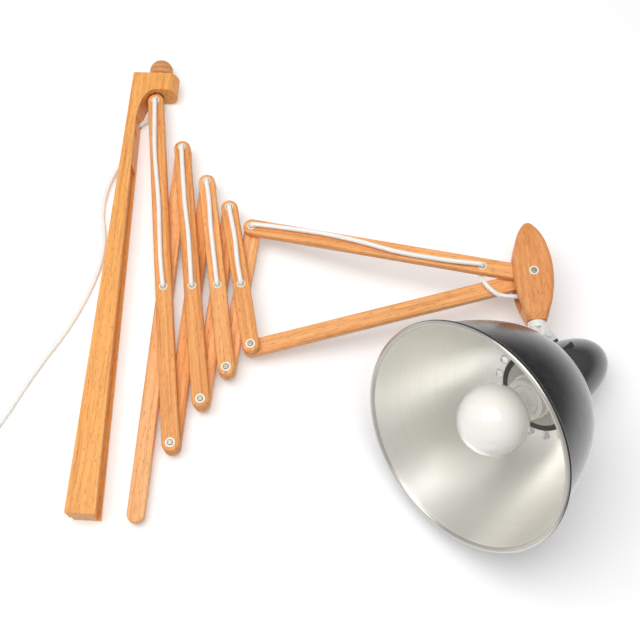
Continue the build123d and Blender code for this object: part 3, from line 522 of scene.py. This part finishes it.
def fromShade(tree):
    # the place in metres, counted from the middle of the shade's mouth
    coords = addNode(tree, "ShaderNodeTexCoord")
    return addNode(tree, "ShaderNodeVectorMath", {
        0: coords.outputs["Object"], 1: [v / 1000 for v in shadeFrame["origin"]]},
        operation="SUBTRACT").outputs[0]


def switchTint(material, mask, code):
    # a second tint over the first where the mask is 1; gives the shader back
    tree = material.node_tree
    shader = next(node for node in tree.nodes if node.type == "BSDF_PRINCIPLED")
    tint = addNode(tree, "ShaderNodeMix", {
        "Factor": mask, 6: shader.inputs["Base Color"].links[0].from_socket, 7: colour(code)},
        data_type="RGBA")
    tree.links.new(tint.outputs[2], shader.inputs["Base Color"])
    return shader


# the shade's mouth and its axis; rho points across it towards the cap's ear
shadeFrame = {"origin": (324.735, -64.1461, -160.206), "axis": (0.645355, 0.481105, 0.593342),
              "rho": (-0.508642, -0.308864, 0.80367)}
# The cap's ear is moulded white like the collar, from 31.2 mm off the axis outwards.
capPlastic = blackPhenolic.copy()
capPlastic.name = "blackCapWithWhiteEar"
tree = capPlastic.node_tree
outwards = addNode(tree, "ShaderNodeVectorMath", {
    0: fromShade(tree), 1: [v * 1000 for v in shadeFrame["rho"]]}, operation="DOT_PRODUCT")
onEar = addNode(tree, "ShaderNodeMath", {0: outwards.outputs["Value"], 1: 31.2},
                operation="GREATER_THAN")
switchTint(capPlastic, onEar.outputs[0], "#F0EFEA")
# Die-cast gallery ring: grey, with painted shade as a dark edge where it meets the dome, 30 mm off the
# axis.
galleryMetal = mottled("castGallery", "#B9B5AD", "#CBC7BF", 0.45, 1.5)
tree = galleryMetal.node_tree
away = addNode(tree, "ShaderNodeVectorMath", {0: fromShade(tree), 1: shadeFrame["axis"]},
               operation="CROSS_PRODUCT")
away = addNode(tree, "ShaderNodeVectorMath", {0: away.outputs[0]}, operation="LENGTH")
# painted shade: darker beyond 30 mm off the axis, where the ring meets the dome
paintedShadeEdge = addNode(tree, "ShaderNodeMapRange", {"Value": away.outputs["Value"], "From Min": 0.0300,
                                            "From Max": 0.0306})
switchTint(galleryMetal, paintedShadeEdge.outputs[0], "#453F3A")
# The plug's pins: nickelled tips below the white plastic, split by height.
plugPlastic = mouldedWhite.copy()
plugPlastic.name = "whitePlugWithPins"
tree = plugPlastic.node_tree
coords = addNode(tree, "ShaderNodeTexCoord")
height = addNode(tree, "ShaderNodeSeparateXYZ", {0: coords.outputs["Object"]})
onPin = addNode(tree, "ShaderNodeMath", {0: height.outputs["Z"], 1: -0.3195}, operation="LESS_THAN")
plugShader = switchTint(plugPlastic, onPin.outputs[0], "#BDB9B0")
tree.links.new(onPin.outputs[0], plugShader.inputs["Metallic"])

kinds = {"eyelet_": creamEnamel, "rings_": mouldedWhite, "rivet_": dullNickel, "cord_": sheath}
for start, material in kinds.items():
    dress(material, *[name for name in nodes if name.startswith(start)])
dress(sheath, "mains_cord")
dress(dullNickel, "head_pin")
dress(turnedSteel, "king_pin", "swivel_hanger", "bulb_base")
dress(mouldedWhite, "stem_collar", "knuckle_screw", "lampholder", "holder_ring")
dress(plugPlastic, "plug")
dress(blackPhenolic, "switch_knob")
dress(capPlastic, "shade_cap")
dress(galleryMetal, "gallery_ring")
dress(blackEnamel, "shade", "shade_crown")
dress(opalGlass, "bulb_glass")

# The two stretches of cord that cross a joint: smooth tubes between their two bodies.
armOrigin, armAlong, armRise = (np.array(v) for v in (
    (57.0383, 0, -9.41247), (0.996844, 0, 0.079381), armUp))
feedPlaces = [(2.65, 5.5, 152), (2.65, 5.5, 167.2), (12.6, 6.6, 175.6), (17.6, 10.9, 184.6),
              (24.57, 11.4, 192.6), (24.57, 7, 193), (24.57, 0, 193)]
loopPlaces = [armOrigin + armAlong * x + armRise * z + np.array((0, -depth, 0)) for x, z, depth in (
    (289.9, 8.9, 4), (289.9, 8.9, -4.1), (288.6, 4.6, -2.8), (290.6, -5.4, 3.2), (297.2, -14.2, 3.4),
    (304.6, -18, 1.2), (314, -18.6, 0), (323.6, -18.8, 0.2), (331.6, -22.6, 0.1), (334.4, -31, 0),
    (334.4, -44, 0))]


def tubeThrough(name, places):
    # a mesh tube along the cord's line
    mesh = takeMesh(cordLine(name, places, 8))
    mesh.polygons.foreach_set("use_smooth", [True] * len(mesh.polygons))
    tube = bpy.data.objects.new(name, mesh)
    bpy.context.scene.collection.objects.link(tube)
    return tube


feedTube = tubeThrough("feedTube", feedPlaces)
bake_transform(feedTube)
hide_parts("cord_feed")
loopTube = tubeThrough("loopTube", loopPlaces)
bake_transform(loopTube)
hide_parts("cord_loop")
print("small parts dressed")

# Spun aluminium, bare inside: fine turning marks round the axis draw the light into two bands.
shade = {
    "radius": 95.0, "top": 107.0, "foot": 4.0, "power": 4.49, "wall": 1.2, "neck": 30.5,
    "bead": 2.5, "beadFrom": 143, "beadTo": -168, "beadSteps": 26,
    "bareFrom": 14,  # the paint stops on the outside of the rolled rim, at this point of the bead
    "vent": 3.2, "ventCircle": 40.0, "vents": 16, "perVent": 12, "bandIn": 32.6, "bandOut": 47.4,
    "ventSteps": 5, "turnDown": 60.0, "crownSteps": 6, "wallSteps": 48, "wallCrowding": 1.7,
}
spun, tree = newMaterial("spunAluminium")
uv = addNode(tree, "ShaderNodeUVMap", uv_map="roundTheAxis")
tracks = addNode(tree, "ShaderNodeVectorMath", {0: uv.outputs[0], 1: (3.0, 260.0, 0)},
                 operation="MULTIPLY")
tracks = addNode(tree, "ShaderNodeTexNoise", {"Vector": tracks.outputs[0], "Scale": 1.0, "Detail": 3.0})
tint = addNode(tree, "ShaderNodeValToRGB", {"Fac": tracks.outputs[0]},
               stops=[(0.3, "#E3E1DB"), (0.7, "#EBEAE5")])
rough = addNode(tree, "ShaderNodeMapRange", {"Value": tracks.outputs[0], "To Min": 0.3, "To Max": 0.38})
relief = addNode(tree, "ShaderNodeBump", {"Height": tracks.outputs[0], "Strength": 0.12,
                                          "Distance": 0.0003})
turning = addNode(tree, "ShaderNodeTangent", direction_type="UV_MAP", uv_map="roundTheAxis")
shader = addNode(tree, "ShaderNodeBsdfPrincipled", {
    "Base Color": tint.outputs[0], "Metallic": 0.8, "Roughness": rough.outputs[0],
    "Normal": relief.outputs[0], "Anisotropic": 0.85, "Anisotropic Rotation": 0.25,
    "Tangent": turning.outputs[0]})
finishMaterial(tree, shader)

# The rolled rim is drawn a darker grey than the bowl.
rolledRim = spun.copy()
rolledRim.name = "rolledRim"
rimTint = next(n for n in rolledRim.node_tree.nodes if n.type == "VALTORGB").color_ramp
rimTint.elements[0].color, rimTint.elements[1].color = colour("#AEABA5"), colour("#C6C3BD")

shadeOrigin, shadeAxis, rho = (np.array(shadeFrame[key]) for key in ("origin", "axis", "rho"))
sideways = np.cross(shadeAxis, rho)


def domeHeight(r, radius, top):
    # foot + (top - foot)(1 - (r / radius)^power): a flat crown that turns down into a steep wall
    return shade["foot"] + (top - shade["foot"]) * (1 - (r / radius) ** shade["power"])


def toWorld(r, angle, s):
    # origin + r (cos angle rho + sin angle sideways) + s axis, in metres
    flat = r[..., None] * (np.cos(angle)[..., None] * rho + np.sin(angle)[..., None] * sideways)
    return (shadeOrigin + flat + s[..., None] * shadeAxis) / 1000


gridPoints, gridFaces, gridUvs, gridKinds = [], [], [], []


def addGrid(r, angle, s, v, kind):
    # a rectangular grid of points on the shade joined by quads, with its UV and its material's number
    start = sum(len(p) for p in gridPoints)
    rows, columns = r.shape
    gridPoints.append(toWorld(r, angle, s).reshape(-1, 3))
    gridUvs.append(np.stack([angle / (2 * np.pi), v], -1).reshape(-1, 2))
    i, j = np.meshgrid(np.arange(rows - 1), np.arange(columns - 1), indexing="ij")
    corner = start + i * columns + j
    quads = np.stack([corner, corner + 1, corner + columns + 1, corner + columns], -1).reshape(-1, 4)
    gridFaces.append(quads)
    gridKinds.append(np.full(len(quads), kind))


def revolve(profileR, profileS, kind, vStart):
    # a profile of radius and height carried round the axis
    angles = np.linspace(0, 2 * np.pi, shade["vents"] * shade["perVent"] + 1) - np.pi / shade["vents"]
    run = np.concatenate([[0], np.cumsum(np.hypot(np.diff(profileR), np.diff(profileS)))])
    r, a = np.meshgrid(profileR, angles, indexing="ij")
    s = np.broadcast_to(profileS[:, None], r.shape)
    v = np.broadcast_to(vStart + run[:, None] / 100, r.shape)
    addGrid(r, a, s, v, kind)


def ventBand(radius, top, kind):
    # each vent is a cell of the crown: straight lines from its round hole to the cell's border
    n = shade["perVent"]
    half = np.pi / shade["vents"]
    low, high = shade["bandIn"], shade["bandOut"]
    share = np.arange(n) / n
    borderR = np.concatenate([np.full(n, low), low + (high - low) * share, np.full(n, high),
                              high - (high - low) * share, [low]])
    borderA = np.concatenate([half * (2 * share - 1), np.full(n, half), half * (1 - 2 * share),
                              np.full(n, -half), [-half]])
    bx, by = borderR * np.cos(borderA), borderR * np.sin(borderA)
    bearing = np.arctan2(by, bx - shade["ventCircle"])
    hx = shade["ventCircle"] + shade["vent"] * np.cos(bearing)
    hy = shade["vent"] * np.sin(bearing)
    steps = np.linspace(0, 1, shade["ventSteps"])[:, None]
    x, y = hx + (bx - hx) * steps, hy + (by - hy) * steps
    r, a = np.hypot(x, y), np.arctan2(y, x)
    holes = []
    for vent in range(shade["vents"]):
        addGrid(r, a + vent * 2 * half, domeHeight(r, radius, top), r / 100, kind)
        holes.append((r[0], a[0] + vent * 2 * half))
    return holes


outer = (shade["radius"], shade["top"])
inner = (shade["radius"] - shade["wall"], shade["top"] - shade["wall"])
wallRadii = np.concatenate([
    np.linspace(shade["bandOut"], shade["turnDown"], shade["crownSteps"])[:-1],
    shade["radius"] - (shade["radius"] - shade["turnDown"])
    * np.linspace(1, 0, shade["wallSteps"]) ** shade["wallCrowding"]])
innerWall = wallRadii * inner[0] / outer[0]
innerWall = np.concatenate([[shade["bandOut"]], innerWall[innerWall > shade["bandOut"] + 0.2]])
neckRadii = np.linspace(shade["neck"], shade["bandIn"], 3)
beadTurn = np.radians(np.linspace(shade["beadFrom"], shade["beadTo"], shade["beadSteps"]))
beadR = shade["radius"] + shade["bead"] - shade["wall"] / 2 + shade["bead"] * np.cos(beadTurn)
beadS = shade["bead"] + shade["bead"] * np.sin(beadTurn)
painted, bare = slice(0, shade["bareFrom"] + 1), slice(shade["bareFrom"], None)
enamelKind, spunKind, rimKind = 0, 1, 2
revolve(neckRadii, domeHeight(neckRadii, *outer), enamelKind, 0)
outerHoles = ventBand(*outer, enamelKind)
revolve(np.append(wallRadii[:-1], beadR[painted]),
        np.append(domeHeight(wallRadii, *outer)[:-1], beadS[painted]), enamelKind, 1)
revolve(beadR[bare], beadS[bare], rimKind, 0)
revolve(np.append(beadR[-1], innerWall[::-1]),
        np.append(beadS[-1], domeHeight(innerWall, *inner)[::-1]), spunKind, 0)
innerHoles = ventBand(*inner, spunKind)
revolve(neckRadii, domeHeight(neckRadii, *inner), spunKind, 0)
revolve(np.full(2, shade["neck"]),
        np.array([domeHeight(shade["neck"], *inner), domeHeight(shade["neck"], *outer)]), spunKind, 0)
for (r0, a0), (r1, a1) in zip(outerHoles, innerHoles):
    r, a = np.stack([r0, r1]), np.stack([a0, a1])
    addGrid(r, a, np.stack([domeHeight(r0, *outer), domeHeight(r1, *inner)]), r / 100, spunKind)
points = np.concatenate(gridPoints)
faces = np.concatenate(gridFaces)
shadeShell = makeMesh("shadeShell", points, faces, blackEnamel)
shadeShell.data.materials.append(spun)
shadeShell.data.materials.append(rolledRim)
shadeShell.data.polygons.foreach_set("material_index", np.concatenate(gridKinds))
uvLayer = shadeShell.data.uv_layers.new(name="roundTheAxis")
uvLayer.data.foreach_set("uv", np.concatenate(gridUvs)[faces.ravel()].ravel())
shell = bmesh.new()
shell.from_mesh(shadeShell.data)
bmesh.ops.remove_doubles(shell, verts=shell.verts, dist=2e-6)
bmesh.ops.recalc_face_normals(shell, faces=shell.faces)
print("shade shell open edges", sum(len(e.link_faces) != 2 for e in shell.edges))
shell.to_mesh(shadeShell.data)
shell.free()
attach(shadeShell, "shade")
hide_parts("shade", "shade_crown")
print("shade spun")
